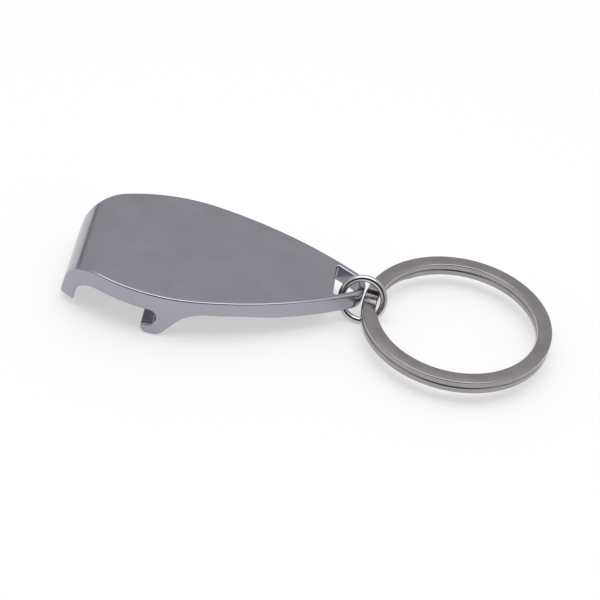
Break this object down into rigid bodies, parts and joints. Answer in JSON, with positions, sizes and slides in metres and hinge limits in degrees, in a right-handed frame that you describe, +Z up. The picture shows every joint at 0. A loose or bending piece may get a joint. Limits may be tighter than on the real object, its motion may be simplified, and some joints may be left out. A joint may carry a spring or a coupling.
{
  "type": "keychain bottle opener",
  "caption": "Cast teardrop bottle opener with a curled lip and a hooked claw, hung by a small wire ring through the slot in its tail from a flat split key ring.",
  "frame": {"origin": "centre of the bounding box's footprint, on the table plane", "axes": "+X from the opener's lip towards the key ring, +Y across, away from the near side wall, +Z up from the table; the opener lies on its claw with its flat face up and its tail dipped by 4.5 degrees"},
  "size_m": [0.0822, 0.033, 0.0091],
  "materials": {
    "plated_casting": "satin-bright dark nickel plating over a zinc casting",
    "polished_wire": "mirror-bright plated steel wire",
    "nickel_spring_steel": "nickel-plated flat spring steel, fine lengthwise draw marks"
  },
  "bodies": {
    "opener": {"opener_body": "plated_casting"},
    "jump_ring": {"jump_ring": "polished_wire"},
    "key_ring": {"key_ring": "nickel_spring_steel"}
  },
  "joints": [
    {"name": "jump_ring_swing", "type": "hinge", "parent": "opener", "child": "jump_ring", "pos_m": [0.00864, 0.00296, 0.00415], "axis": [0, 1, 0], "range_deg": [-12, 5]},
    {"name": "key_ring_swing", "type": "hinge", "parent": "jump_ring", "child": "key_ring", "pos_m": [0.01096, 0.00136, 0.00335], "axis": [0, 1, 0], "range_deg": [-12, 90]}
  ]
}
